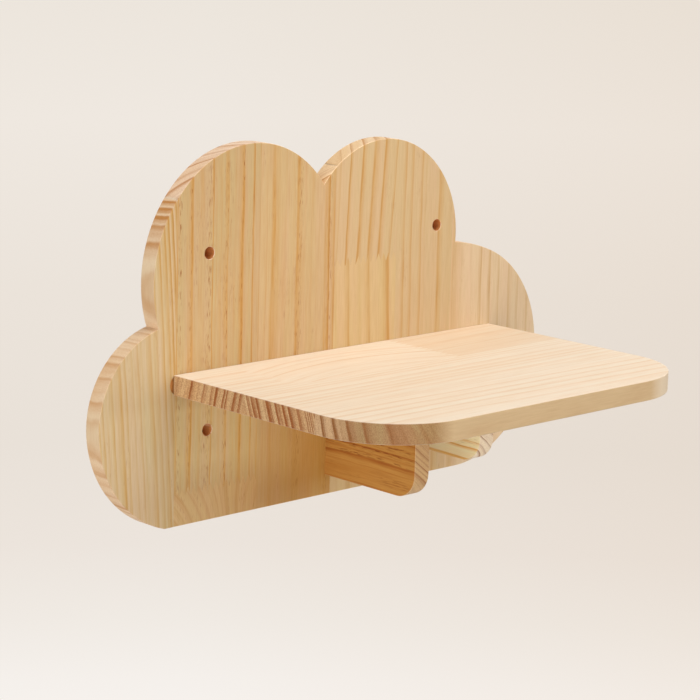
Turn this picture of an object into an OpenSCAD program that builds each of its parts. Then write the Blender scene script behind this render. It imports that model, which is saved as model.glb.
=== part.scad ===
// Cloud-shaped wall shelf for a cat, in edge-glued pine. The origin is the centre of its four wall holes,
// on the plane of the wall. X runs to the right, Y into the wall and Z up, so the front faces -Y.

/* [Cloud board] */
// Thickness of the board that hangs on the wall
board_t = 18; // [15:0.5:24]
// Width of the cloud over its left and right lobes
cloud_w = 550; // [530:1:600]

/* [Staves of the board] */
// Distance of the first glue line from the wall holes' centre
first_line = 179; // [165:0.5:185]
// Width of the second stave
stave_2_w = 96.5; // [85:0.5:102]
// Width of the third stave
stave_3_w = 92; // [85:0.5:96]
// Width of the fourth stave
stave_4_w = 78.5; // [70:0.5:85]
// Width of the fifth stave
stave_5_w = 75; // [65:0.5:80]
// Length of the fingers where two lengths of wood join end to end
finger_l = 8; // [6:0.5:12]
// Distance from one finger to the next
finger_pitch = 6.5; // [4:0.5:8]

/* [Wall holes] */
// Distance between the left and the right holes
hole_pitch_x = 283; // [260:1:295]
// Distance between the upper and the lower holes
hole_pitch_z = 159; // [140:1:175]
// Diameter that the wall screw passes through
hole_d = 5.5; // [4:0.5:7]
// Diameter of the recess that hides the screw's head
recess_d = 11; // [9:0.5:14]
// Wood left behind the recess, under the screw's head
recess_floor = 6; // [4:0.5:9]
// Width of the eased rim round each recess
rim_w = 0.5; // [0.2:0.1:1]

/* [Shelf] */
// Length of the shelf along the wall
shelf_l = 400; // [370:1:430]
// Reach of the shelf out of the board's face
shelf_reach = 269; // [240:1:300]
// Thickness of the shelf
shelf_t = 18; // [15:0.5:22]
// Radius of the two front corners, seen from above
shelf_corner_r = 80; // [40:1:85]
// Middle of the shelf, to the right of the wall holes' centre
shelf_x = 19.5; // [10:0.5:30]
// Top of the shelf, below the wall holes' centre
shelf_drop = 25; // [15:1:35]
// Depth of the groove that holds the shelf's rear edge
groove_d = 6; // [4:0.5:8]
// Play above and below the shelf in its groove
groove_play = 0.15; // [0.05:0.05:0.3]
// Setback of the shelf's tongue at each end, so that it fits the groove's round ends
tongue_in = 5; // [4:0.5:8]

/* [Staves of the shelf] */
// Width of the rear stave
shelf_rear_w = 99; // [80:1:110]
// Width of the middle stave
shelf_middle_w = 89; // [70:1:95]
// Distance of the rear stave's left end joint from the middle of the shelf
left_joint = 137.5; // [130:0.5:142]
// Distance of the rear stave's right end joint from the middle of the shelf
right_joint = 60.5; // [58:0.5:70]

/* [Brackets] */
// Thickness of each bracket
bracket_t = 18; // [15:0.5:22]
// Reach of each bracket out of the board's face
bracket_reach = 118; // [105:1:150]
// Height of the left bracket
left_bracket_h = 101; // [90:1:108]
// Height of the right bracket
right_bracket_h = 80; // [75:1:108]
// Radius of each bracket's lower front corner
bracket_corner_r = 23; // [12:1:34]
// Middle of the left bracket, to the right of the wall holes' centre
left_bracket_x = 12; // [5:0.5:20]
// Distance between the middles of the two brackets
bracket_pitch = 84; // [75:1:95]

/* [Fixings] */
// Outer diameter of the screws' thread
screw_d = 4; // [3.5:0.5:5]
// Length of the screws that hold the shelf
shelf_screw_l = 45; // [35:5:60]
// Distance from one of the shelf's screws to the next
shelf_screw_pitch = 100; // [98:0.5:102]
// Length of the screws that hold the brackets
bracket_screw_l = 50; // [40:5:60]
// Diameter of the screws' heads
head_d = 8; // [7:0.5:10]
// Depth of the heads below the back of the board
head_sink = 0.5; // [0.2:0.1:1]
// Diameter of the dowels between shelf and brackets
dowel_d = 8; // [6:1:10]
// Length of the dowels
dowel_l = 36; // [30:2:40]
// Depth of the dowels in the shelf
dowel_in_shelf = 12; // [8:1:13]

/* [Hidden] */
$fn = 96;

// Centre along, centre up, radius and flank radius of each lobe, from lower left to lower right
lobe_shares = [
    [-0.3215, -0.119, 0.1565, 0.189],
    [-0.167, 0.1205, 0.1945, 0.218],
    [0.128, 0.125, 0.178, 0.178],
    [0.323, -0.097, 0.199, 0.343]
];
// Turn at which each lobe's arc runs into its flatter flank
lobe_turns = [187, 127, 0, 67.5];
// Heights of the finger joints in the second and in the fourth stave
board_joint_shares = [-0.24, 0.101];
// Places of a bracket's screws, down from the shelf
bracket_screw_shares = [0.33, 0.78];
// Places of a bracket's dowels, out from the board
dowel_shares = [0.45, 0.68];

lobes = lobe_shares * cloud_w;
// The right lobe rests on the cloud's flat foot
right_lobe = lobes[3];
foot_z = right_lobe[1] - right_lobe[2];
line_2 = stave_2_w - first_line;
line_3 = line_2 + stave_3_w;
line_4 = line_3 + stave_4_w;
glue_lines = [-first_line, line_2, line_3, line_4, line_4 + stave_5_w];
board_joints = board_joint_shares * cloud_w;
// Overrun of every cut
cut_over = 1;
// Gap round the screws and the dowels
fit_gap = 0.1;

shelf_depth = shelf_reach + groove_d;
shelf_rear_y = groove_d - board_t;
shelf_left_x = shelf_x - shelf_l / 2;
shelf_mid_z = -shelf_drop - shelf_t / 2;
shelf_under_z = -shelf_drop - shelf_t;
shelf_lines = [shelf_rear_w, shelf_rear_w + shelf_middle_w];
shelf_joints = [shelf_x - left_joint, shelf_x + right_joint];
groove_r = shelf_t / 2 + groove_play;

bracket_xs = [left_bracket_x, left_bracket_x + bracket_pitch];
bracket_hs = [left_bracket_h, right_bracket_h];

// Parts of a wood screw
core_share = 0.68;
thread_pitch = 1.8;
thread_share = 0.62;
tip_l = 4;
slot_w = 1;
slot_l = 4.4;
slot_h = 1.8;
head_h = (head_d - screw_d) / 2;
// Bevel at the dowels' ends
dowel_ease = 1;

board_colour = "#d9b27c";
shelf_colour = "#ecd2a8";
bracket_colour = "#c8924e";
steel_colour = "#b8bcc0";
dowel_colour = "#dcc39a";
// Staves of another tree beside their neighbours
dark_stave_colour = "#c9985c";
pale_stave_colour = "#e2b97c";
peach_stave_colour = "#e3bd8a";

// The wall board

// A lobe's main arc and its flatter flank share a tangent where they meet, so there is no corner
module lobe(size, turn) {
    r = size[2];
    flank_r = size[3];
    translate([size[0], size[1]]) rotate(turn) {
        circle(r = r);
        if (flank_r > r) intersection() {
            translate([r - flank_r, 0]) circle(r = flank_r);
            translate([r - 2 * flank_r, 0]) square([2 * flank_r, flank_r]);
        }
    }
}

// Fills the cloud between the centres of its lobes and its flat foot
module cloud_middle() {
    middle = [for (size = lobes) [size[0], size[1]]];
    foot = [[right_lobe[0], foot_z], [lobes[0][0], foot_z]];
    polygon(concat(middle, foot));
}

// Stands a flat shape up against the wall and gives it thickness t in front of depth y
module upright(y, t) {
    translate([0, y, 0]) rotate([90, 0, 0]) linear_extrude(t) children();
}

// Bore, recess and eased rim, from the back of the board to its face
module wall_hole() {
    rotate([90, 0, 0]) {
        translate([0, 0, -cut_over]) cylinder(d = hole_d, h = board_t + 2 * cut_over);
        translate([0, 0, recess_floor]) cylinder(d = recess_d, h = board_t - recess_floor + cut_over);
        translate([0, 0, board_t - rim_w])
            cylinder(d1 = recess_d, d2 = recess_d + 2 * (rim_w + cut_over), h = rim_w + cut_over);
    }
}

module wall_holes() {
    for (x = [-1, 1], z = [-1, 1])
        translate([x * hole_pitch_x / 2, 0, z * hole_pitch_z / 2]) wall_hole();
}

// Groove with half-round ends
module shelf_groove() {
    run = [shelf_left_x + tongue_in, shelf_left_x + shelf_l - tongue_in];
    upright(shelf_rear_y, groove_d + cut_over) {
        for (x = run) translate([x, shelf_mid_z]) circle(r = groove_r);
        translate([run[0], shelf_mid_z - groove_r]) square([run[1] - run[0], 2 * groove_r]);
    }
}

module cloud() {
    intersection() {
        union() {
            for (i = [0 : len(lobes) - 1]) upright(0, board_t) lobe(lobes[i], lobe_turns[i]);
            upright(0, board_t) cloud_middle();
        }
        translate([-cloud_w, -board_t, foot_z]) cube([2 * cloud_w, board_t, cloud_w]);
    }
}

module cloud_board() {
    difference() {
        cloud();
        wall_holes();
        shelf_groove();
        shelf_screw_holes();
        bracket_screw_holes();
    }
}

// Keeps the board between two glue lines
module board_strip(x0, x1) {
    intersection() {
        cloud_board();
        translate([x0, -board_t, foot_z]) cube([x1 - x0, board_t, cloud_w]);
    }
}

// Flat shape of all that lies to the right of a row of fingers, which runs up from the origin for a length w
module beyond_fingers(w, reach) {
    count = round(w / finger_pitch);
    step = w / count / 2;
    tip = finger_l / 2;
    teeth = [for (i = [0 : 2 * count]) [i % 2 == 0 ? -tip : tip, i * step]];
    bottom = [[reach, -cut_over], [-tip, -cut_over]];
    top = [[-tip, w + cut_over], [reach, w + cut_over]];
    polygon(concat(bottom, teeth, top));
}

// Everything above a finger joint of the board, between two glue lines
module above_joint(x0, x1, z) {
    upright(cut_over, board_t + 2 * cut_over) translate([x1, z]) rotate(90) beyond_fingers(x1 - x0, cloud_w);
}

module board_stave_1() {
    color(board_colour) board_strip(-cloud_w, glue_lines[0]);
}

module board_stave_2_upper() {
    color(board_colour) intersection() {
        board_strip(glue_lines[0], glue_lines[1]);
        above_joint(glue_lines[0], glue_lines[1], board_joints[0]);
    }
}

module board_stave_2_lower() {
    color(dark_stave_colour) difference() {
        board_strip(glue_lines[0], glue_lines[1]);
        above_joint(glue_lines[0], glue_lines[1], board_joints[0]);
    }
}

module board_stave_3() {
    color(board_colour) board_strip(glue_lines[1], glue_lines[2]);
}

module board_stave_4_upper() {
    color(board_colour) intersection() {
        board_strip(glue_lines[2], glue_lines[3]);
        above_joint(glue_lines[2], glue_lines[3], board_joints[1]);
    }
}

module board_stave_4_lower() {
    color(pale_stave_colour) difference() {
        board_strip(glue_lines[2], glue_lines[3]);
        above_joint(glue_lines[2], glue_lines[3], board_joints[1]);
    }
}

module board_stave_5() {
    color(board_colour) board_strip(glue_lines[3], glue_lines[4]);
}

module board_stave_6() {
    color(board_colour) board_strip(glue_lines[4], cloud_w);
}

// The shelf

// Outline seen from above, with the rear edge on the X axis, the left end at X = 0 and the front at -Y
module shelf_outline() {
    r = shelf_corner_r;
    translate([tongue_in, -groove_d]) square([shelf_l - 2 * tongue_in, groove_d]);
    translate([0, r - shelf_depth]) square([shelf_l, shelf_depth - r - groove_d]);
    translate([r, -shelf_depth]) square([shelf_l - 2 * r, r]);
    for (x = [r, shelf_l - r]) translate([x, r - shelf_depth]) circle(r = r);
}

module whole_shelf() {
    difference() {
        translate([shelf_left_x, shelf_rear_y, shelf_under_z]) linear_extrude(shelf_t) shelf_outline();
        shelf_screw_holes();
        dowel_holes();
    }
}

// Keeps the shelf between two distances from its rear edge
module shelf_strip(y0, y1) {
    intersection() {
        whole_shelf();
        translate([shelf_left_x, shelf_rear_y - y1, shelf_under_z]) cube([shelf_l, y1 - y0, shelf_t]);
    }
}

// Everything to the right of an end joint in the rear stave
module right_of_joint(x) {
    translate([x, shelf_rear_y, shelf_under_z - cut_over])
        linear_extrude(shelf_t + 2 * cut_over) mirror([0, 1]) beyond_fingers(shelf_lines[0], shelf_l);
}

module shelf_rear_left() {
    color(shelf_colour) difference() {
        shelf_strip(0, shelf_lines[0]);
        right_of_joint(shelf_joints[0]);
    }
}

module shelf_rear_middle() {
    color(shelf_colour) difference() {
        intersection() {
            shelf_strip(0, shelf_lines[0]);
            right_of_joint(shelf_joints[0]);
        }
        right_of_joint(shelf_joints[1]);
    }
}

module shelf_rear_right() {
    color(peach_stave_colour) intersection() {
        shelf_strip(0, shelf_lines[0]);
        right_of_joint(shelf_joints[1]);
    }
}

module shelf_middle() {
    color(shelf_colour) shelf_strip(shelf_lines[0], shelf_lines[1]);
}

module shelf_front() {
    color(shelf_colour) shelf_strip(shelf_lines[1], shelf_depth);
}

// The brackets

// Side view with the board's face at X = 0 and the shelf's underside at Y = 0
module bracket_outline(h) {
    r = bracket_corner_r;
    translate([0, r - h]) square([bracket_reach, h - r]);
    translate([0, -h]) square([bracket_reach - r, r]);
    translate([bracket_reach - r, r - h]) circle(r = r);
}

module bracket(i) {
    difference() {
        translate([bracket_xs[i] + bracket_t / 2, -board_t, shelf_under_z])
            rotate([90, 0, -90]) linear_extrude(bracket_t) bracket_outline(bracket_hs[i]);
        bracket_screw_holes();
        dowel_holes();
    }
}

module left_bracket() {
    color(bracket_colour) bracket(0);
}

module right_bracket() {
    color(bracket_colour) bracket(1);
}

// Screws and dowels

module at_shelf_screws() {
    for (step = [-1.5 : 1.5])
        translate([shelf_x + step * shelf_screw_pitch, -head_sink, shelf_mid_z]) rotate([90, 0, 0]) children();
}

module at_bracket_screws() {
    for (i = [0, 1], share = bracket_screw_shares)
        translate([bracket_xs[i], -head_sink, shelf_under_z - share * bracket_hs[i]])
            rotate([90, 0, 0]) children();
}

module at_dowels() {
    for (x = bracket_xs, share = dowel_shares)
        translate([x, -board_t - share * bracket_reach, shelf_under_z + dowel_in_shelf - dowel_l]) children();
}

// Countersunk screw with its head's face at the origin, pointing up, and its thread as ridges round the core
module wood_screw(l) {
    core_r = core_share * screw_d / 2;
    thread_l = thread_share * l;
    turns = floor((thread_l - tip_l) / thread_pitch);
    start = l - tip_l - turns * thread_pitch;
    ridges = [for (i = [0 : turns - 1], part = [0, 1])
        [part == 0 ? core_r : screw_d / 2, start + (i + part / 2) * thread_pitch]];
    profile = concat(
        [[0, 0], [head_d / 2, 0], [screw_d / 2, head_h], [screw_d / 2, start - screw_d / 4]],
        ridges,
        [[core_r, l - tip_l], [0, l]]
    );
    difference() {
        rotate_extrude() polygon(profile);
        for (turn = [0, 90]) rotate(turn)
            translate([-slot_l / 2, -slot_w / 2, -cut_over]) cube([slot_l, slot_w, slot_h + cut_over]);
    }
}

// Room for a screw: a bore with a countersink that opens at the back of the board
module screw_hole(l) {
    r = screw_d / 2 + fit_gap;
    head_r = head_d / 2 + fit_gap;
    cylinder(r = r, h = l + fit_gap);
    cylinder(r1 = head_r, r2 = r, h = head_r - r);
    translate([0, 0, -head_sink - cut_over]) cylinder(r = head_r, h = head_sink + cut_over);
}

module shelf_screw_holes() {
    at_shelf_screws() screw_hole(shelf_screw_l);
}

module bracket_screw_holes() {
    at_bracket_screws() screw_hole(bracket_screw_l);
}

module dowel_holes() {
    at_dowels() translate([0, 0, -fit_gap]) cylinder(r = dowel_d / 2 + fit_gap, h = dowel_l + 2 * fit_gap);
}

module shelf_screws() {
    color(steel_colour) at_shelf_screws() wood_screw(shelf_screw_l);
}

module bracket_screws() {
    color(steel_colour) at_bracket_screws() wood_screw(bracket_screw_l);
}

module bracket_dowels() {
    r = dowel_d / 2;
    eased = r - dowel_ease;
    side = [[0, 0], [eased, 0], [r, dowel_ease], [r, dowel_l - dowel_ease], [eased, dowel_l], [0, dowel_l]];
    color(dowel_colour) at_dowels() rotate_extrude() polygon(side);
}

board_stave_1();
board_stave_2_upper();
board_stave_2_lower();
board_stave_3();
board_stave_4_upper();
board_stave_4_lower();
board_stave_5();
board_stave_6();
shelf_rear_left();
shelf_rear_middle();
shelf_rear_right();
shelf_middle();
shelf_front();
left_bracket();
right_bracket();
shelf_screws();
bracket_screws();
bracket_dowels();
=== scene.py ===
import math

import bmesh
import bpy
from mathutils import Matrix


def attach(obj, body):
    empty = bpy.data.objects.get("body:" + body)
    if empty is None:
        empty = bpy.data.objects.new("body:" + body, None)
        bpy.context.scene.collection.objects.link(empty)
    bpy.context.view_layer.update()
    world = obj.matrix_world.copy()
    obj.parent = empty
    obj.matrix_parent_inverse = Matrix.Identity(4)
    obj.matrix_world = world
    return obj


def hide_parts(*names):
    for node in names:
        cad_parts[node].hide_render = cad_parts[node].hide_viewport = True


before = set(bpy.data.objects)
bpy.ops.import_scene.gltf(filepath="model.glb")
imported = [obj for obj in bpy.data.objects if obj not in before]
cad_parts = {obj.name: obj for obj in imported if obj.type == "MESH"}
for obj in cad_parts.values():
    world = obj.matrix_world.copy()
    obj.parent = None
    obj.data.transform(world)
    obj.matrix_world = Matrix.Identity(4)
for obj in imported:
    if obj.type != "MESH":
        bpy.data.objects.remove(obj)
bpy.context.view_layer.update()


# The camera stands to the left of the cloud, above the landing, about 2.3 m off.
# Its lens is long, so that the board and the landing keep nearly parallel edges.
camera_place = (-1.5147, -1.6375, 0.4349)
camera_turn = (78.302, -1.442, -43.372)
camera_lens = 126.13

bpy.ops.object.camera_add(location=camera_place)
camera = bpy.context.active_object
camera.name = "photographer"
camera.rotation_euler = [math.radians(turn) for turn in camera_turn]
camera.data.sensor_width = 36
camera.data.lens = camera_lens
camera.data.clip_start = 0.1
camera.data.clip_end = 60
bpy.context.scene.camera = camera
bpy.context.scene.view_settings.view_transform = "Standard"


# The studio has a pale floor a metre below the shelf, which fades out towards its rim.
# Behind it all is warm off-white paper, a little lighter low down.
floor_height = -1.0
floor_radius = 3.2
floor_fade_start = 0.9
floor_fade_end = 1.8
room_level = 0.25
# The paper is endlessly far off, so its places are parts of a direction.
paper_foot = -0.36
paper_top = 0.04
paper_steps = (
    (0.07, (245, 240, 235)), (0.13, (240, 234, 227)), (0.2, (236, 228, 220)), (0.3, (233, 225, 216)),
    (0.45, (235, 227, 218)), (0.62, (239, 232, 224)), (0.76, (236, 229, 220)),
)
paper_rightwards = (0.727, -0.687, 0)
paper_left_end = -0.06
paper_right_end = 0.14


def paint(red, green, blue):
    def in_light(level):
        share = level / 255
        if share <= 0.04045:
            return share / 12.92
        return ((share + 0.055) / 1.055) ** 2.4
    return (in_light(red), in_light(green), in_light(blue), 1.0)


def bare_material(name):
    material = bpy.data.materials.new(name)
    material.use_nodes = True
    material.node_tree.nodes.clear()
    return material


bpy.ops.object.select_all(action="DESELECT")
bpy.ops.mesh.primitive_circle_add(
    vertices=96, radius=floor_radius, fill_type="NGON", location=(0, 0, floor_height),
)
floor = bpy.context.active_object
floor.name = "studio_floor"
bpy.ops.object.transform_apply(location=True, rotation=True, scale=True)

floor_paint = bare_material("floor_paint")
floor_tree = floor_paint.node_tree
floor_end = floor_tree.nodes.new("ShaderNodeOutputMaterial")
floor_matt = floor_tree.nodes.new("ShaderNodeBsdfPrincipled")
floor_matt.inputs["Roughness"].default_value = 0.9
floor_matt.inputs["Specular IOR Level"].default_value = 0.1
floor_clear = floor_tree.nodes.new("ShaderNodeBsdfTransparent")
floor_mix = floor_tree.nodes.new("ShaderNodeMixShader")
floor_place = floor_tree.nodes.new("ShaderNodeTexCoord")
floor_reach = floor_tree.nodes.new("ShaderNodeVectorMath")
floor_reach.operation = "LENGTH"
floor_fade = floor_tree.nodes.new("ShaderNodeMapRange")
floor_fade.interpolation_type = "SMOOTHSTEP"
floor_fade.inputs["From Min"].default_value = floor_fade_start
floor_fade.inputs["From Max"].default_value = floor_fade_end
floor_grain = floor_tree.nodes.new("ShaderNodeTexNoise")
floor_grain.inputs["Scale"].default_value = 3.0
floor_shade = floor_tree.nodes.new("ShaderNodeMix")
floor_shade.data_type = "RGBA"
floor_shade.inputs["A"].default_value = paint(238, 234, 229)
floor_shade.inputs["B"].default_value = paint(241, 237, 232)
floor_tree.links.new(floor_place.outputs["Object"], floor_reach.inputs[0])
floor_tree.links.new(floor_place.outputs["Object"], floor_grain.inputs["Vector"])
floor_tree.links.new(floor_grain.outputs["Fac"], floor_shade.inputs["Factor"])
floor_tree.links.new(floor_shade.outputs["Result"], floor_matt.inputs["Base Color"])
floor_tree.links.new(floor_reach.outputs["Value"], floor_fade.inputs["Value"])
floor_tree.links.new(floor_fade.outputs["Result"], floor_mix.inputs["Fac"])
floor_tree.links.new(floor_matt.outputs["BSDF"], floor_mix.inputs[1])
floor_tree.links.new(floor_clear.outputs["BSDF"], floor_mix.inputs[2])
floor_tree.links.new(floor_mix.outputs["Shader"], floor_end.inputs["Surface"])
floor.data.materials.append(floor_paint)

studio = bpy.data.worlds.new("studio")
bpy.context.scene.world = studio
studio.use_nodes = True
studio_tree = studio.node_tree
studio_tree.nodes.clear()
studio_end = studio_tree.nodes.new("ShaderNodeOutputWorld")
room_light = studio_tree.nodes.new("ShaderNodeBackground")
room_light.inputs["Color"].default_value = paint(255, 240, 221)
room_light.inputs["Strength"].default_value = room_level
paper = studio_tree.nodes.new("ShaderNodeBackground")
paper_place = studio_tree.nodes.new("ShaderNodeTexCoord")
paper_parts = studio_tree.nodes.new("ShaderNodeSeparateXYZ")
paper_height = studio_tree.nodes.new("ShaderNodeMapRange")
paper_height.inputs["From Min"].default_value = paper_foot
paper_height.inputs["From Max"].default_value = paper_top
paper_ramp = studio_tree.nodes.new("ShaderNodeValToRGB")
paper_ramp.color_ramp.elements[0].color = paint(248, 244, 240)
paper_ramp.color_ramp.elements[1].color = paint(235, 227, 218)
for spot, tone in paper_steps:
    paper_step = paper_ramp.color_ramp.elements.new(spot)
    paper_step.color = paint(*tone)
paper_right = studio_tree.nodes.new("ShaderNodeVectorMath")
paper_right.operation = "DOT_PRODUCT"
paper_right.inputs[1].default_value = paper_rightwards
paper_fall = studio_tree.nodes.new("ShaderNodeMapRange")
paper_fall.inputs["From Min"].default_value = paper_left_end
paper_fall.inputs["From Max"].default_value = paper_right_end
paper_tint = studio_tree.nodes.new("ShaderNodeMix")
paper_tint.data_type = "RGBA"
paper_tint.blend_type = "MULTIPLY"
paper_tint.inputs["B"].default_value = paint(252, 249, 246)
paper_seen = studio_tree.nodes.new("ShaderNodeLightPath")
paper_or_gloss = studio_tree.nodes.new("ShaderNodeMath")
paper_or_glass = studio_tree.nodes.new("ShaderNodeMath")
paper_or_glass.use_clamp = True
paper_mix = studio_tree.nodes.new("ShaderNodeMixShader")
studio_tree.links.new(paper_place.outputs["Generated"], paper_parts.inputs["Vector"])
studio_tree.links.new(paper_parts.outputs["Z"], paper_height.inputs["Value"])
studio_tree.links.new(paper_height.outputs["Result"], paper_ramp.inputs["Fac"])
studio_tree.links.new(paper_place.outputs["Generated"], paper_right.inputs[0])
studio_tree.links.new(paper_right.outputs["Value"], paper_fall.inputs["Value"])
studio_tree.links.new(paper_fall.outputs["Result"], paper_tint.inputs["Factor"])
studio_tree.links.new(paper_ramp.outputs["Color"], paper_tint.inputs["A"])
studio_tree.links.new(paper_tint.outputs["Result"], paper.inputs["Color"])
studio_tree.links.new(paper_seen.outputs["Is Camera Ray"], paper_or_gloss.inputs[0])
studio_tree.links.new(paper_seen.outputs["Is Glossy Ray"], paper_or_gloss.inputs[1])
studio_tree.links.new(paper_or_gloss.outputs["Value"], paper_or_glass.inputs[0])
studio_tree.links.new(paper_seen.outputs["Is Transmission Ray"], paper_or_glass.inputs[1])
studio_tree.links.new(paper_or_glass.outputs["Value"], paper_mix.inputs["Fac"])
studio_tree.links.new(room_light.outputs["Background"], paper_mix.inputs[1])
studio_tree.links.new(paper.outputs["Background"], paper_mix.inputs[2])
studio_tree.links.new(paper_mix.outputs["Shader"], studio_end.inputs["Surface"])


# Five big soft lamps light it: one in front at the right, one overhead for the landing, one at
# the left, a low weak one that reaches under the landing, and one behind for the board's back.
lamp_colour = (1.0, 0.985, 0.97)


def soft_lamp(name, place, aim, width, watts):
    bpy.ops.object.light_add(type="AREA", location=place)
    lamp = bpy.context.active_object
    lamp.name = name
    lamp.data.shape = "SQUARE"
    lamp.data.size = width
    lamp.data.energy = watts
    lamp.data.color = lamp_colour
    toward = [end - start for start, end in zip(place, aim)]
    sideways = math.hypot(toward[0], toward[1])
    lamp.rotation_euler = (math.atan2(sideways, -toward[2]), 0, math.atan2(-toward[0], toward[1]))


soft_lamp("front_lamp", (0.9, -2.4, 0.9), (0, -0.1, 0), 2.0, 31)
soft_lamp("overhead_lamp", (0.3, -0.9, 2.5), (0, -0.15, 0), 2.2, 51)
soft_lamp("left_lamp", (-2.8, -0.4, 0.3), (0, -0.1, 0), 1.8, 36)
soft_lamp("low_lamp", (-1.6, -2.0, -0.5), (0, -0.1, -0.1), 1.6, 26)
soft_lamp("rear_lamp", (0.9, 2.7, 0.1), (0, 0, 0), 2.0, 40)


# The first stave is the left end of the cloud: clear-coated pine of close, straight grain,
# edge-glued to the next stave, sawn to the outline and eased along its arrises.
mm_per_m = 1000
easing = 0.0007
weld_reach = 0.000001
same_face = math.radians(0.5)
smooth_turn = math.radians(35)
# Places in the wood are in millimetres from the middle of the four wall holes.
glue_lines = (-179, -82.5, 9.5, 88, 163)
glue_reach = 0.05
finger_joints = ((-178, -83, -132), (10, 87, 55.55))
finger_reach = 4.1
groove_left = -186
groove_right = 225
groove_height = -34
groove_half = 9
groove_floor = -11
wall_hole = (141.5, 79.5)
hole_rim_reach = 9
hole_wall_reach = 6.5
board_front = -17.6
board_back = -0.4


# A piece is copied from its solid, welded into whole faces and bevelled where a flat face meets
# the sawn outline. The flat faces look along flat_axis, and bores take the second material.
def eased(name, node, flat_axis, is_outline, is_bored=None):
    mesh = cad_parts[node].data.copy()
    mesh.materials.clear()
    piece = bpy.data.objects.new(name, mesh)
    bpy.context.scene.collection.objects.link(piece)
    bpy.ops.object.select_all(action="DESELECT")
    piece.select_set(True)
    bpy.context.view_layer.objects.active = piece
    bpy.ops.object.mode_set(mode="EDIT")
    bpy.ops.mesh.select_all(action="SELECT")
    bpy.ops.mesh.remove_doubles(threshold=weld_reach)
    bpy.ops.mesh.dissolve_limited(angle_limit=same_face)
    bpy.ops.mesh.select_all(action="DESELECT")
    bpy.ops.mesh.select_mode(type="EDGE")
    flat_part = "XYZ".index(flat_axis)
    shape = bmesh.from_edit_mesh(mesh)
    for edge in shape.edges:
        if len(edge.link_faces) != 2:
            continue
        turns = sorted(abs(face.normal[flat_part]) for face in edge.link_faces)
        middle = (edge.verts[0].co + edge.verts[1].co) / 2 * mm_per_m
        if turns[0] < 0.1 and turns[1] > 0.99 and is_outline(middle):
            edge.select = True
    bmesh.update_edit_mesh(mesh)
    bpy.ops.mesh.bevel(offset=easing, segments=3, profile=0.5, affect="EDGES")
    bpy.ops.object.mode_set(mode="OBJECT")
    bpy.ops.object.shade_smooth_by_angle(angle=smooth_turn)
    bpy.ops.object.modifier_add(type="WEIGHTED_NORMAL")
    piece.modifiers["WeightedNormal"].keep_sharp = True
    bpy.ops.object.modifier_apply(modifier="WeightedNormal")
    if is_bored:
        for face in piece.data.polygons:
            if is_bored(face.center * mm_per_m):
                face.material_index = 1
    return piece


def from_wall_hole(spot):
    return math.dist((abs(spot.x), abs(spot.z)), wall_hole)


def by_groove(spot, margin):
    return groove_left < spot.x < groove_right and abs(spot.z - groove_height) < groove_half + margin


def on_cloud(middle):
    if any(abs(middle.x - line) < glue_reach for line in glue_lines):
        return False
    if by_groove(middle, 1) or from_wall_hole(middle) < hole_rim_reach:
        return False
    for left, right, height in finger_joints:
        if left < middle.x < right and abs(middle.z - height) < finger_reach:
            return False
    return True


def in_bore(centre):
    if centre.y < board_front or centre.y > board_back:
        return False
    if from_wall_hole(centre) < hole_wall_reach:
        return True
    return by_groove(centre, 0.3) and centre.y < groove_floor


def calc(tree, operation, *values, clamp=False):
    node = tree.nodes.new("ShaderNodeMath")
    node.operation = operation
    node.use_clamp = clamp
    for socket, value in zip(node.inputs, values):
        if isinstance(value, (int, float)):
            socket.default_value = value
        else:
            tree.links.new(value, socket)
    return node.outputs["Value"]


def plus(tree, first, second):
    return calc(tree, "ADD", first, second)


def times(tree, first, second):
    return calc(tree, "MULTIPLY", first, second)


def spread(tree, value, low, high, to_low=0.0, to_high=1.0):
    node = tree.nodes.new("ShaderNodeMapRange")
    node.inputs["From Min"].default_value = low
    node.inputs["From Max"].default_value = high
    node.inputs["To Min"].default_value = to_low
    node.inputs["To Max"].default_value = to_high
    tree.links.new(value, node.inputs["Value"])
    return node.outputs["Result"]


# Each of the three lengths is a measure and how many millimetres of it one cloud takes up.
# A number is added to a piece's seed for each use, so that its clouds don't fall on each other.
def clouding(tree, lengths, seed, detail=2.0, roughness=0.5):
    joined = tree.nodes.new("ShaderNodeCombineXYZ")
    for socket, (value, length) in zip(joined.inputs, lengths):
        tree.links.new(calc(tree, "MULTIPLY_ADD", value, 1 / length, seed), socket)
    node = tree.nodes.new("ShaderNodeTexNoise")
    node.inputs["Scale"].default_value = 1.0
    node.inputs["Detail"].default_value = detail
    node.inputs["Roughness"].default_value = roughness
    tree.links.new(joined.outputs["Vector"], node.inputs["Vector"])
    return node.outputs["Fac"]


def tinted(tree, factor, under, over, mode="MIX"):
    node = tree.nodes.new("ShaderNodeMix")
    node.data_type = "RGBA"
    node.blend_type = mode
    for name, value in (("Factor", factor), ("A", under), ("B", over)):
        socket = next(s for s in node.inputs if s.name == name and s.enabled)
        if isinstance(value, (int, float, tuple)):
            socket.default_value = value
        else:
            tree.links.new(value, socket)
    return next(s for s in node.outputs if s.enabled)


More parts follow.
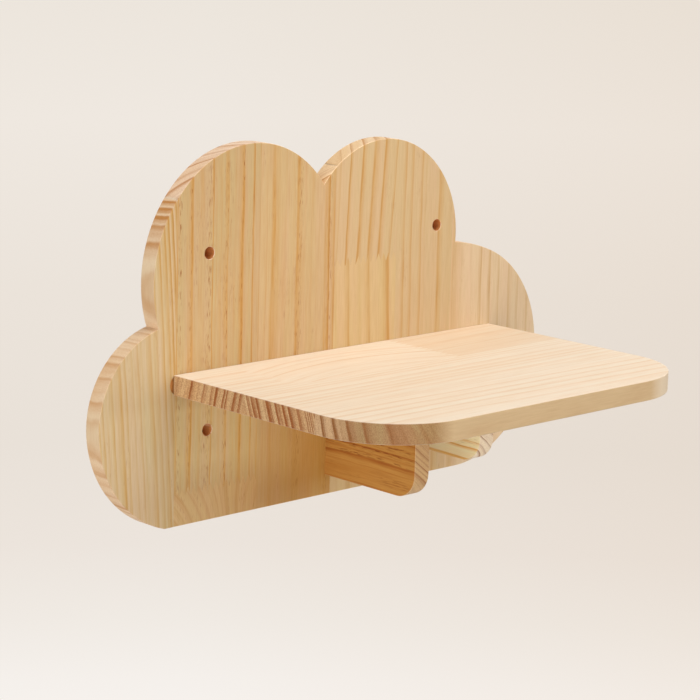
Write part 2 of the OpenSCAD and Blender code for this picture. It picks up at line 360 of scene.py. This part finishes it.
# A point's place among the rings is how far it lies across the grain, after the rings tilt with
# depth, lean along the grain, fan out from a hinge, bow about a centre, and sway a little.
def among_rings(tree, across, along, inward, tilt, lean, fan, hinge, bow, centre, sway, seed):
    off_centre = calc(tree, "SUBTRACT", along, centre)
    fanned = times(tree, calc(tree, "SUBTRACT", across, hinge), fan / 100)
    place = plus(tree, across, times(tree, inward, tilt))
    place = plus(tree, place, times(tree, off_centre, plus(tree, fanned, lean)))
    place = plus(tree, place, times(tree, times(tree, off_centre, off_centre), bow / 10000))
    slow = clouding(tree, ((across, 60), (along, 170), (inward, 70)), seed, 1.0)
    place = plus(tree, place, spread(tree, slow, 0.2, 0.8, -sway, sway))
    quick = clouding(tree, ((across, 12), (along, 34), (inward, 12)), seed + 5, 2.0)
    return plus(tree, place, spread(tree, quick, 0.2, 0.8, -0.5, 0.5))


# A ring is (place, width, strength). It fades in over its width and stops short, as late wood
# does, or the other way round where the width is negative. One colour ramp has room for seven.
rings_per_ramp = 7
short_side = 0.3
halfway_level = 0.4


def ring_lines(tree, place, rings):
    rings = sorted(rings)
    total = None
    for start in range(0, len(rings), rings_per_ramp):
        group = rings[start:start + rings_per_ramp]
        low = group[0][0] - abs(group[0][1]) - 1
        high = group[-1][0] + abs(group[-1][1]) + 1
        node = tree.nodes.new("ShaderNodeValToRGB")
        node.color_ramp.interpolation = "EASE"
        node.color_ramp.elements[0].color = (0, 0, 0, 1)
        node.color_ramp.elements[1].color = (0, 0, 0, 1)
        last = low
        for middle, width, strength in group:
            if width > 0:
                begin = max(middle - width, last + 0.01)
                end = middle + short_side * width
                halfway = (begin + middle) / 2
            else:
                begin = max(middle + short_side * width, last + 0.01)
                end = middle - width
                halfway = (middle + end) / 2
            steps = [(begin, 0), (halfway, halfway_level * strength), (middle, strength), (end, 0)]
            for spot, level in sorted(steps):
                stop = node.color_ramp.elements.new((spot - low) / (high - low))
                stop.color = (level, level, level, 1)
            last = end
        tree.links.new(spread(tree, place, low, high), node.inputs["Fac"])
        found = node.outputs["Color"]
        total = found if total is None else calc(tree, "MAXIMUM", total, found)
    return total


# Resin flecks are short dashes along the grain, so thick, so long and so sparse as fleck says.
# They keep to patches, and to the bands of flecked where there are any.
def resin_dashes(tree, place, across, along, inward, flecks, flecked, fleck, seed):
    thick, long, sparse = fleck
    dashes = clouding(tree, ((across, thick), (along, long), (inward, thick)), seed + 29, 1.0)
    dashes = spread(tree, dashes, sparse, sparse + 0.08)
    patches = clouding(tree, ((place, 10), (along, 70), (inward, 40)), seed + 31, 1.0)
    patches = spread(tree, patches, 0.54, 0.66, 0.0, 0.7)
    if flecked:
        patches = times(tree, patches, 0.5)
        patches = calc(tree, "ADD", patches, ring_lines(tree, place, flecked), clamp=True)
    return times(tree, times(tree, dashes, patches), flecks)


# Under the landing the front of the board is painted a warm orange, as painted shade warmed by bounced
# light;
# its left side leans and it doesn't reach the back. At the left of the cloud's foot it is painted darker,
# as painted shade, and above the foot some staves are painted lighter, as painted light.
warm_shade_lean = -0.35
warm_shade_across = (-90, 20)
warm_shade_under = (-35, -60)
warm_shade_foot = (-160, -142)
warm_shade_depth = (9, 2)
painted_warm_shade = paint(244, 219, 163)
foot_shade_under = (-118, -150)
foot_shade_across = (-10, -60)
painted_foot_shade = (0.8, 0.74, 0.76, 1)
painted_light_under = (-45, -60)
painted_light_foot = (-140, -105)
painted_light_lift = (1.23, 1.31, 1.33, 1)


# The share of the board's front under the landing that takes the painted warm shade.
def warm_shade_share(tree, across, along, inward, warm_shade_level):
    warm_shade_side = plus(tree, across, times(tree, along, warm_shade_lean))
    warm_shade = spread(tree, warm_shade_side, *warm_shade_across)
    warm_shade = times(tree, warm_shade, spread(tree, along, *warm_shade_under, 0.0, warm_shade_level))
    warm_shade = times(tree, warm_shade, spread(tree, along, *warm_shade_foot, 0.8, 1.0))
    return times(tree, warm_shade, spread(tree, inward, *warm_shade_depth))


def bumped(tree, height, strength, distance):
    bump = tree.nodes.new("ShaderNodeBump")
    bump.inputs["Strength"].default_value = strength
    bump.inputs["Distance"].default_value = distance
    tree.links.new(height, bump.inputs["Height"])
    return bump.outputs["Normal"]


# Each of these says from where to where a measure counts, and some how little and how much.
streaks_show = (0.48, 0.78)
broad_bands = (0.4, 0.6)
late_golden = (0.0, 0.6)
late_brown = (0.45, 1.0, 0.0, 0.75)
fibres_on_face = (0.3, 0.7, 0.0, 0.16)
fibres_on_edge = (0.3, 0.7, 0.0, 0.14)
turned_to_end = (0.06, 0.3)
turned_to_edge = (0.95, 0.75)
near_arris = (0.08, 0.24, 0.0, 0.2)
satin = (0.2, 0.8, 0.46, 0.6)


# Pine has pale and warm early wood, and golden and brown late wood in its rings and fine streaks.
# Its grain runs along one axis, and its flat face lies at one place of the deep axis. There the
# late wood may be faint. End grain is mottled by pores. It is paler over one stretch across
# the grain, and takes the far end's colour over one stretch along it.
def pine(name, wood, rings, run="Z", side="X", deep="Y", face=-18,
         tilt=0.0, lean=0.0, fan=0.0, hinge=0.0, bow=0.0, centre=0.0, sway=1.2,
         fine=0.3, faint=1.0, flecks=0.5, flecked=(), fleck=(1.0, 9, 0.6),
         warm_shade_level=0.0, painted_light_level=0.0, mottle=0.3, fresh=(), far_end=(), seed=0.0):
    material = bare_material(name)
    tree = material.node_tree
    where = tree.nodes.new("ShaderNodeTexCoord")
    parts = tree.nodes.new("ShaderNodeSeparateXYZ")
    tree.links.new(where.outputs["Object"], parts.inputs["Vector"])
    along = times(tree, parts.outputs[run], mm_per_m)
    across = times(tree, parts.outputs[side], mm_per_m)
    inward = calc(tree, "SUBTRACT", times(tree, parts.outputs[deep], mm_per_m), face)
    place = among_rings(tree, across, along, inward, tilt, lean, fan, hinge, bow, centre, sway, seed)

    lines = ring_lines(tree, place, rings)
    strong = clouding(tree, ((place, 9), (along, 60), (inward, 30)), seed + 7, 2.0)
    lines = times(tree, lines, spread(tree, strong, 0.3, 0.7, 0.6, 1.1))
    # The ring lines fade where the painted warm shade lies.
    if warm_shade_level:
        warm_shade = warm_shade_share(tree, across, along, inward, warm_shade_level)
        lines = times(tree, lines, spread(tree, warm_shade, 0.1, 0.7, 1.0, 0.3))
    streaks = clouding(tree, ((place, 3.4), (along, 110), (inward, 300)), seed + 11, 3.0, 0.7)
    streaks = spread(tree, streaks, *streaks_show)
    late = calc(tree, "ADD", lines, times(tree, streaks, fine), clamp=True)
    late_flat = times(tree, late, faint)
    fibres = clouding(tree, ((across, 1.3), (along, 28), (inward, 1.3)), seed + 17, 2.0, 0.6)
    broad = clouding(tree, ((place, 13), (along, 220), (inward, 60)), seed + 23, 2.0)
    broad = spread(tree, broad, *broad_bands)

    flat = tinted(tree, broad, wood["pale"], wood["warm"])
    flat = tinted(tree, spread(tree, late_flat, *late_golden), flat, wood["golden"])
    flat = tinted(tree, spread(tree, late_flat, *late_brown), flat, wood["brown"])
    dashes = resin_dashes(tree, place, across, along, inward, flecks, flecked, fleck, seed)
    flat = tinted(tree, dashes, flat, wood["fleck"])
    flat = tinted(tree, spread(tree, fibres, *fibres_on_face), flat, wood["golden"], "MULTIPLY")
    # Painted warm shade under the landing, painted darker still at the left of the cloud's foot.
    if warm_shade_level:
        flat = tinted(tree, warm_shade, flat, painted_warm_shade, "MULTIPLY")
        foot = times(tree, warm_shade, spread(tree, along, *foot_shade_under))
        foot = times(tree, foot, spread(tree, across, *foot_shade_across))
        flat = tinted(tree, foot, flat, painted_foot_shade, "MULTIPLY")
    # Painted light that lifts the shade under the landing.
    if painted_light_level:
        painted_light = spread(tree, along, *painted_light_under, 0.0, painted_light_level)
        painted_light = times(tree, painted_light, spread(tree, along, *painted_light_foot))
        flat = tinted(tree, painted_light, flat, painted_light_lift, "MULTIPLY")

    turned = tree.nodes.new("ShaderNodeSeparateXYZ")
    tree.links.new(where.outputs["Normal"], turned.inputs["Vector"])
    end_on = spread(tree, calc(tree, "ABSOLUTE", turned.outputs[run]), *turned_to_end)
    squarely = calc(tree, "ABSOLUTE", turned.outputs[deep])
    edge_on = spread(tree, squarely, *turned_to_edge)
    pores = clouding(tree, ((across, 0.9), (along, 0.9), (inward, 0.9)), seed + 37, 2.0, 0.7)
    end = tinted(tree, broad, wood["end"], wood["end_warm"])
    if fresh:
        end = tinted(tree, spread(tree, across, *fresh), end, wood["end_fresh"])
    end = tinted(tree, calc(tree, "MULTIPLY", late, 1.4, clamp=True), end, wood["end_ring"])
    end = tinted(tree, spread(tree, pores, 0.35, 0.7, 0.0, mottle), end, wood["end_ring"], "MULTIPLY")
    if far_end:
        end = tinted(tree, spread(tree, along, *far_end, 0.0, 0.85), end, wood["far_end"])
    side_ring = wood.get("side_ring", wood["end_ring"])
    edge = tinted(tree, times(tree, late, 0.9), wood["side"], side_ring)
    edge = tinted(tree, spread(tree, fibres, *fibres_on_edge), edge, side_ring, "MULTIPLY")
    sawn = tinted(tree, end_on, edge, end)
    colour = tinted(tree, edge_on, flat, sawn)
    # The eased arrises are painted towards a set tone: a painted highlight on most pieces, a painted
    # darkening on the first stave and the upper second stave.
    arris = times(tree, squarely, calc(tree, "SUBTRACT", 1.0, squarely))
    colour = tinted(tree, spread(tree, arris, *near_arris), colour, wood["worn"])

    relief = calc(tree, "SUBTRACT", times(tree, fibres, 0.5), times(tree, late, 0.6))
    coat = tree.nodes.new("ShaderNodeBsdfPrincipled")
    coat.inputs["IOR"].default_value = 1.45
    coat.inputs["Specular IOR Level"].default_value = 0.2
    tree.links.new(colour, coat.inputs["Base Color"])
    tree.links.new(spread(tree, fibres, *satin), coat.inputs["Roughness"])
    tree.links.new(bumped(tree, relief, 0.25, 0.0003), coat.inputs["Normal"])
    out = tree.nodes.new("ShaderNodeOutputMaterial")
    tree.links.new(coat.outputs["BSDF"], out.inputs["Surface"])
    return material


def wood_of(other_wood, **tones):
    wood = dict(other_wood)
    for part, tone in tones.items():
        wood[part] = paint(*tone)
    return wood


def set_piece(piece, node, slot, *materials):
    for material in materials:
        piece.data.materials.append(material)
    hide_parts(node)
    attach(piece, "root")


def set_stave(name, node, slot, *materials):
    is_bored = in_bore if len(materials) > 1 else None
    set_piece(eased(name, node, "Y", on_cloud, is_bored), node, slot, *materials)


board_wood = wood_of(
    {}, pale=(198, 171, 127), warm=(200, 170, 131), golden=(192, 146, 80), brown=(164, 112, 56),
    fleck=(144, 78, 22), side=(236, 219, 194), end=(239, 218, 190), end_warm=(235, 208, 174),
    end_ring=(214, 172, 130), worn=(240, 222, 196),
)
# Inside the wall holes and the groove the wood is painted darker and more orange than the board's other
# sawn surfaces, as painted shade.
shaded_bore_wood = wood_of(
    board_wood, pale=(222, 157, 90), warm=(214, 146, 78), side=(210, 144, 86), end=(210, 144, 86),
    end_warm=(210, 144, 86), end_ring=(168, 100, 50),
)
grey_wood = wood_of(
    board_wood, pale=(199, 179, 141), warm=(201, 177, 144), golden=(190, 152, 92), brown=(176, 130, 68),
    side=(227, 208, 176), end=(232, 209, 178), end_warm=(228, 200, 164), end_ring=(192, 138, 80),
    worn=(130, 98, 60),
)
bored_rings = [(-160, 4, 0.4), (-140, 4, 0.4), (140, 4, 0.4)]
stave_1_rings = [
    (-270, 4.0, 0.3), (-262, 3.5, 0.35), (-257.5, 3.5, 0.4), (-253, 3.0, 0.2), (-246.5, 4.0, 0.45),
    (-237, 7.0, 0.55), (-231, 3.5, 0.45), (-223, 4.0, 0.25), (-216, 3.0, 0.3), (-212.5, 3.0, 0.2),
    (-202.5, 6.0, 0.4), (-195, 5.0, 0.4), (-187.7, 5.0, 0.55), (-181.2, 5.5, 0.6), (-176.7, 4.0, 0.9),
    (-172.2, 4.0, 1.0), (-168, 4.0, 0.95),
]
shaded_bore_pine = pine("shaded_bore_pine", shaded_bore_wood, bored_rings, seed=20.0)
set_stave(
    "cloud_stave_1", "board_stave_1", "board_pine",
    pine("stave_1_pine", grey_wood, stave_1_rings, tilt=0.05, lean=0.065, fan=-0.025, hinge=-179,
         centre=-60, sway=0.7, fine=0.25, flecks=0.3, painted_light_level=0.25, seed=1.0),
    shaded_bore_pine,
)


# The second stave is two lengths of pine, finger-jointed end to end low on the board.
# The upper one is full of short resin flecks; the lower is darker and wild-grained.
rich_wood = wood_of(
    board_wood, pale=(191, 166, 122), warm=(193, 164, 124), end=(238, 213, 186), end_warm=(233, 204, 172),
    end_ring=(184, 124, 68), worn=(170, 138, 96),
)
dark_wood = wood_of(board_wood, pale=(204, 175, 127), warm=(204, 172, 127), golden=(184, 138, 78))
stave_2_upper_rings = [
    (-177.5, 2.0, 0.6), (-161, 6.5, 0.55), (-150, 5.0, 0.15), (-137.3, 1.8, 0.85), (-128, 4.0, 0.2),
    (-120.5, 5.0, 0.45), (-112, 4.0, 0.15), (-103, 6.5, 0.65), (-90.7, 2.2, 0.75), (-83, 1.5, 0.35),
]
stave_2_upper_flecks = [
    (-174, 5.0, 1.0), (-162, 4.0, 0.8), (-140, 9.0, 1.0), (-121, 6.0, 1.0), (-103, 4.0, 0.7),
]
stave_2_lower_rings = [
    (-206, 8.0, 0.2), (-193, 8.0, 0.2), (-180, 9.0, 0.25), (-165, 9.0, 0.15), (-150, 9.0, 0.25),
    (-134, 9.0, 0.2), (-117, 9.0, 0.3), (-101, 8.0, 0.3), (-88, 6.0, 0.2),
]
set_stave(
    "cloud_stave_2_upper", "board_stave_2_upper", "board_pine",
    pine("stave_2_upper_pine", rich_wood, stave_2_upper_rings, tilt=0.9, sway=1.0, fine=0.34, flecks=1.0,
         flecked=stave_2_upper_flecks, fleck=(0.6, 10, 0.59), warm_shade_level=1.0, painted_light_level=0.95, seed=2.0),
    shaded_bore_pine,
)
set_stave(
    "cloud_stave_2_lower", "board_stave_2_lower", "dark_pine",
    pine("stave_2_lower_pine", dark_wood, stave_2_lower_rings, tilt=0.5, fan=-1.6, hinge=-110,
         centre=-132, sway=4.0, fine=0.3, flecks=0.6, warm_shade_level=1.0, seed=3.0),
)


# The third stave has the notch between the two top lobes. It is one full length of pine,
# with broad golden bands and two brown ones full of flecks, and glued on both sides.
notch_wood = wood_of(board_wood, end=(250, 226, 190), end_warm=(247, 218, 176), end_ring=(208, 160, 106))
stave_3_rings = [
    (-75, 4.0, 0.12), (-68, -11.0, 0.5), (-52, 4.0, 0.12), (-38, -8.0, 0.48), (-28, 3.0, 0.12),
    (-20, 4.0, 0.1), (-2.5, 3.0, 0.35), (2.0, 4.0, 0.75), (8.5, 5.0, 0.45),
]
stave_3_flecks = [(-33, 10.0, 1.0), (4, 7.0, 0.9)]
set_stave(
    "cloud_stave_3", "board_stave_3", "board_pine",
    pine("stave_3_pine", notch_wood, stave_3_rings, tilt=0.8, sway=1.4, fine=0.28, flecks=0.75,
         flecked=stave_3_flecks, fleck=(0.6, 10, 0.59), warm_shade_level=1.0, painted_light_level=0.35, seed=4.0),
    shaded_bore_pine,
)


# The fourth stave is again two lengths with fingers cut into their ends and glued.
# The upper one has bold leaning rings that stop short at the joint.
fair_wood = wood_of(
    board_wood, pale=(202, 177, 136), warm=(204, 176, 138), golden=(194, 153, 93), brown=(183, 131, 70),
    end=(242, 216, 178), end_warm=(238, 208, 164), end_ring=(198, 144, 86),
)
# The lower length of the fourth stave is painted a little warmer, partly its wood and partly painted
# light bounced up from the landing.
low_wood = wood_of(fair_wood, pale=(206, 180, 133), warm=(208, 179, 136))
stave_4_upper_rings = [
    (12.5, 4.0, 0.3), (23.7, -3.5, 0.75), (38.5, -5.5, 0.75), (52.9, -7.5, 0.6), (66.2, -6.0, 0.8),
    (81.8, 3.5, 0.5),
]
stave_4_lower_rings = [
    (11, -3.0, 0.2), (28.3, 7.0, 0.5), (42.5, 5.0, 0.15), (54.3, 7.0, 0.45), (79.5, 9.0, 0.75),
]
set_stave(
    "cloud_stave_4_upper", "board_stave_4_upper", "board_pine",
    pine("stave_4_upper_pine", fair_wood, stave_4_upper_rings, tilt=-0.75, lean=-0.048, fan=-0.05,
         hinge=24, centre=92, sway=0.5, fine=0.12, flecks=0.2, seed=5.0),
)
set_stave(
    "cloud_stave_4_lower", "board_stave_4_lower", "board_pine",
    pine("stave_4_lower_pine", low_wood, stave_4_lower_rings, tilt=0.6, lean=0.04, centre=12, sway=0.8,
         fine=0.12, flecks=0.2, seed=6.0),
    shaded_bore_pine,
)


# The fifth stave reaches from the top lobe down to the straight foot of the cloud.
# It is one length of pine with a few wide-set rings that waver a little.
stave_5_rings = [
    (98.5, 4.5, 0.5), (108.3, 4.5, 0.45), (121.3, 4.0, 0.5), (126.5, 3.0, 0.15), (144.5, -7.0, 0.5),
    (160, 6.0, 0.1),
]
set_stave(
    "cloud_stave_5", "board_stave_5", "board_pine",
    pine("stave_5_pine", fair_wood, stave_5_rings, tilt=0.7, sway=1.6, fine=0.12, flecks=0.3, seed=7.0),
    shaded_bore_pine,
)


# The sixth stave is the right end of the cloud, a pinker length of pine.
# Its rings are wide apart, and its left margin is golden.
pink_wood = wood_of(
    board_wood, pale=(216, 193, 158), warm=(217, 191, 158), golden=(196, 160, 112), brown=(186, 142, 90),
)
stave_6_rings = [
    (166, -18.0, 0.5), (205.3, 4.5, 0.5), (218, 4.0, 0.6), (231, 4.0, 0.35), (245, -6.0, 0.4),
    (259.3, 4.0, 0.3), (273, 6.0, 0.3),
]
set_stave(
    "cloud_stave_6", "board_stave_6", "board_pine",
    pine("stave_6_pine", pink_wood, stave_6_rings, tilt=0.5, sway=0.8, fine=0.12, flecks=0.2, seed=8.0),
    shaded_bore_pine,
)


# The rear stave of the landing is three lengths of pine, finger-jointed, whose rear edge
# is glued into the board's groove. The middle length is flat-sawn, so its rings make arches.
landing_left = -180.5
landing_right = 219.5
landing_rear = -18.5
landing_front = -286
landing_glue_lines = (-111, -200)
landing_joints = (-118, 80)
corner_reach = 81
landing_grain = {"run": "X", "side": "Y", "deep": "Z", "face": -25}


def on_landing(middle):
    if middle.y > landing_rear:
        return False
    if any(abs(middle.y - line) < glue_reach for line in landing_glue_lines):
        return False
    by_joint = any(abs(middle.x - joint) < finger_reach for joint in landing_joints)
    if by_joint and middle.y > landing_glue_lines[0]:
        return False
    if abs(middle.x - landing_left) < corner_reach or abs(middle.x - landing_right) < corner_reach:
        return True
    return middle.y < landing_front


def set_length(name, node, material):
    set_piece(eased(name, node, "Z", on_landing), node, "shelf_pine", material)


# The landing's flat faces are painted near-white, far paler than its sawn edges: partly pale pine and
# partly a painted highlight for the strong light on its top.
shelf_wood = wood_of(
    {}, pale=(241, 229, 211), warm=(241, 226, 206), golden=(228, 197, 160), brown=(210, 165, 118),
    fleck=(190, 142, 98), side=(200, 172, 130), end=(214, 183, 138), end_warm=(209, 171, 124),
    end_ring=(158, 98, 54), worn=(240, 224, 204),
)
peach_wood = wood_of(shelf_wood, pale=(235, 217, 193), warm=(235, 214, 188))
rear_left_rings = [
    (-42.7, 5.0, 0.8), (-59, 6.0, 0.5), (-70, 4.0, 0.45), (-76, 4.0, 0.85), (-86, 3.0, 0.7),
    (-90, 3.0, 0.9), (-99.5, 5.0, 0.8), (-107, 4.0, 0.7),
]
rear_middle_rings = [(-34, 4.0, 0.5), (-44, 4.0, 0.5), (-58, 3.5, 0.95), (-82, 5.0, 0.4), (-98, 6.0, 0.4)]
rear_right_rings = [(-30, 6.0, 0.5), (-53, 9.0, 0.6), (-77, 4.0, 0.8), (-96, 6.0, 0.4)]
set_length(
    "landing_rear_left", "shelf_rear_left",
    pine("rear_left_pine", shelf_wood, rear_left_rings, **landing_grain, tilt=0.22, sway=0.6, fine=0.6,
         faint=0.45, flecks=0.1, mottle=0.6, seed=9.0),
)
set_length(
    "landing_rear_middle", "shelf_rear_middle",
    pine("rear_middle_pine", shelf_wood, rear_middle_rings, **landing_grain, bow=20, centre=-25,
         sway=2.4, fine=0.5, faint=0.6, flecks=0.1, seed=10.0),
)
set_length(
    "landing_rear_right", "shelf_rear_right",
    pine("rear_right_pine", peach_wood, rear_right_rings, **landing_grain, tilt=0.3, lean=-0.04,
         centre=100, sway=1.6, fine=0.5, faint=0.6, flecks=0.1, seed=11.0),
)


# The board's groove is cut with a round cutter. Its round ends hold small half-round plugs, set a little
# below the surface, that stand in for the shaded wood seen there; their dark colour is painted shade.
plug_radius = 0.00905
plug_depth = 0.0034
plug_inward = -0.0138
plug_height = -0.034
plug_easing = 0.0003
for side, groove_end, keeps_inner in (("left", -0.1756, True), ("right", 0.2146, False)):
    bpy.ops.object.select_all(action="DESELECT")
    bpy.ops.mesh.primitive_cylinder_add(
        vertices=64, radius=plug_radius, depth=plug_depth, end_fill_type="NGON",
        location=(groove_end, plug_inward, plug_height), rotation=(math.radians(90), 0, 0),
    )
    plug = bpy.context.active_object
    plug.name = "groove_shade_plug_" + side
    bpy.ops.object.transform_apply(location=True, rotation=True, scale=True)
    bpy.ops.object.mode_set(mode="EDIT")
    bpy.ops.mesh.select_all(action="SELECT")
    bpy.ops.mesh.bisect(
        plane_co=(groove_end, 0, 0), plane_no=(1, 0, 0), use_fill=True,
        clear_outer=keeps_inner, clear_inner=not keeps_inner,
    )
    bpy.ops.mesh.select_all(action="SELECT")
    bpy.ops.mesh.bevel(offset=plug_easing, segments=2, affect="EDGES")
    bpy.ops.object.mode_set(mode="OBJECT")
    bpy.ops.object.shade_smooth_by_angle(angle=smooth_turn)
    plug.data.materials.append(shaded_bore_pine)
    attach(plug, "root")


# The middle stave of the landing is one length of pine from end to end.
# Its growth rings are close and show best on its sawn left end.
shelf_middle_rings = [
    (-114, 3.0, 0.8), (-120, 4.5, 0.85), (-126.2, 4.5, 0.95), (-139.4, 7.0, 0.95), (-150.5, 7.0, 0.85),
    (-159.4, 6.0, 0.95), (-167, 6.0, 0.95), (-178, 7.0, 0.7), (-187.5, 2.2, 0.7), (-190.2, 1.8, 0.7),
    (-192.7, 1.8, 0.75), (-195, 1.6, 0.75), (-198.4, 2.4, 1.0),
]
set_length(
    "landing_middle", "shelf_middle",
    pine("shelf_middle_pine", shelf_wood, shelf_middle_rings, **landing_grain, tilt=-0.33, sway=0.6,
         fine=0.6, faint=0.35, flecks=0.05, mottle=0.6, seed=12.0),
)


# The front stave carries the two large round corners, cut after the panel was glued up. Its rings
# drift towards the front from left to right, and the end grain of its right corner is paler.
dull_wood = wood_of(
    shelf_wood, end=(167, 138, 95), end_warm=(165, 126, 86), end_fresh=(208, 174, 134),
    end_ring=(146, 98, 56), far_end=(224, 207, 181), side=(197, 171, 133), side_ring=(174, 138, 98),
)
shelf_front_rings = [
    (-207, 4.0, 1.0), (-220, 4.5, 1.0), (-233, 5.0, 1.0), (-246, 5.5, 0.9), (-262, 6.0, 0.7),
    (-292, 8.0, 0.5),
]
set_length(
    "landing_front", "shelf_front",
    pine("shelf_front_pine", dull_wood, shelf_front_rings, **landing_grain, tilt=-0.25, lean=0.025,
         centre=-170, sway=0.9, fine=0.5, faint=0.45, flecks=0.05, mottle=0.45, fresh=(-245, -215),
         far_end=(120, 150), seed=13.0),
)


# Two brackets carry the landing: short lengths of pine on edge, the left one taller and dark orange,
# partly its wood and partly painted shade under the landing, and the right one painted near-white, partly
# pale wood and partly painted light that the landing keeps from it. Screws from the back and dowels from
# above hold them.
bracket_top = -43.1
bracket_back = -18.1
bracket_grain = {"run": "Y", "side": "Z", "deep": "X"}


def on_bracket(middle):
    return middle.z < bracket_top and middle.y < bracket_back


def set_bracket(name, node, material):
    set_piece(eased(name, node, "X", on_bracket), node, "bracket_pine", material)


# The near bracket's dark orange is partly painted shade; the far one's near-white is partly painted
# light.
orange_and_shaded_bracket_wood = wood_of(
    {}, pale=(184, 134, 66), warm=(177, 124, 58), golden=(162, 100, 40), brown=(132, 68, 24),
    fleck=(118, 56, 18), side=(206, 164, 108), end=(210, 177, 131), end_warm=(203, 167, 121),
    end_ring=(164, 116, 76), worn=(224, 190, 150),
)
pale_and_lit_bracket_wood = wood_of(
    orange_and_shaded_bracket_wood, pale=(255, 246, 206), warm=(255, 242, 196), golden=(240, 192, 112),
    brown=(212, 148, 70), side=(240, 216, 172), end=(250, 236, 212), end_warm=(247, 229, 202),
)
left_bracket_rings = [
    (-142, 3.0, 0.35), (-130, 8.0, 0.05), (-125, 2.0, 0.3), (-117.5, 5.0, 0.7), (-112, 2.0, 0.4),
    (-107, 2.5, 0.75), (-101, 2.0, 0.4), (-95, 3.0, 0.6), (-88, 3.0, 0.4), (-80, 3.0, 0.5),
    (-72, 3.0, 0.4), (-64, 3.0, 0.5), (-56, 3.0, 0.4), (-48, 3.0, 0.4),
]
left_bracket_flecks = [(-101, 5.0, 0.8), (-108, 4.0, 0.8), (-115, 3.0, 0.7), (-80, 9.0, 0.6)]
right_bracket_rings = [
    (-121, 6.0, 0.6), (-110, 3.0, 0.8), (-104, 2.5, 0.5), (-96, 2.5, 0.6), (-84, 4.0, 0.5),
    (-70, 4.0, 0.5), (-56, 4.0, 0.5),
]
set_bracket(
    "near_bracket", "left_bracket",
    pine("near_bracket_pine", orange_and_shaded_bracket_wood, left_bracket_rings, **bracket_grain, face=3, tilt=0.8,
         sway=1.5, fine=0.35, flecks=1.0, flecked=left_bracket_flecks, fleck=(1.2, 12, 0.51), seed=14.0),
)
set_bracket(
    "far_bracket", "right_bracket",
    pine("far_bracket_pine", pale_and_lit_bracket_wood, right_bracket_rings, **bracket_grain, face=87, tilt=0.8,
         sway=1.5, fine=0.25, flecks=0.4, seed=15.0),
)


# Eight zinc-plated wood screws go in from the back of the board, four into the landing and four
# into the brackets. Their heads sit just below the wood, and the plate has fine dull spots.
def zinc_plate(name):
    material = bare_material(name)
    tree = material.node_tree
    where = tree.nodes.new("ShaderNodeTexCoord")
    spots = tree.nodes.new("ShaderNodeTexNoise")
    spots.inputs["Scale"].default_value = 900
    spots.inputs["Detail"].default_value = 3
    tree.links.new(where.outputs["Object"], spots.inputs["Vector"])
    colour = tinted(tree, spots.outputs["Fac"], paint(206, 206, 202), paint(178, 180, 178))
    plate = tree.nodes.new("ShaderNodeBsdfPrincipled")
    plate.inputs["Metallic"].default_value = 1.0
    tree.links.new(colour, plate.inputs["Base Color"])
    tree.links.new(spread(tree, spots.outputs["Fac"], 0.3, 0.7, 0.26, 0.44), plate.inputs["Roughness"])
    tree.links.new(bumped(tree, spots.outputs["Fac"], 0.2, 0.0001), plate.inputs["Normal"])
    out = tree.nodes.new("ShaderNodeOutputMaterial")
    tree.links.new(plate.outputs["BSDF"], out.inputs["Surface"])
    return material


def refinish(node, material):
    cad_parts[node].data.materials.clear()
    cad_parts[node].data.materials.append(material)


screw_zinc = zinc_plate("screw_zinc")
refinish("shelf_screws", screw_zinc)
refinish("bracket_screws", screw_zinc)


# Four beech dowels stand between the brackets and the underside of the landing.
# They are turned from pinkish beech with short dark rays, and glued in.
beech_wood = wood_of(
    {}, pale=(214, 172, 130), warm=(206, 160, 116), golden=(190, 142, 98), brown=(168, 118, 78),
    fleck=(150, 100, 64), side=(206, 160, 116), end=(204, 158, 114), end_warm=(198, 150, 106),
    end_ring=(166, 116, 76), worn=(224, 188, 150),
)
dowel_rings = [(place, 3.0, 0.3) for place in range(-100, -69, 6)]
refinish(
    "bracket_dowels",
    pine("dowel_beech", beech_wood, dowel_rings, run="Z", side="Y", deep="X", face=0, tilt=0.4,
         sway=0.5, fine=0.2, flecks=1.0, seed=16.0),
)
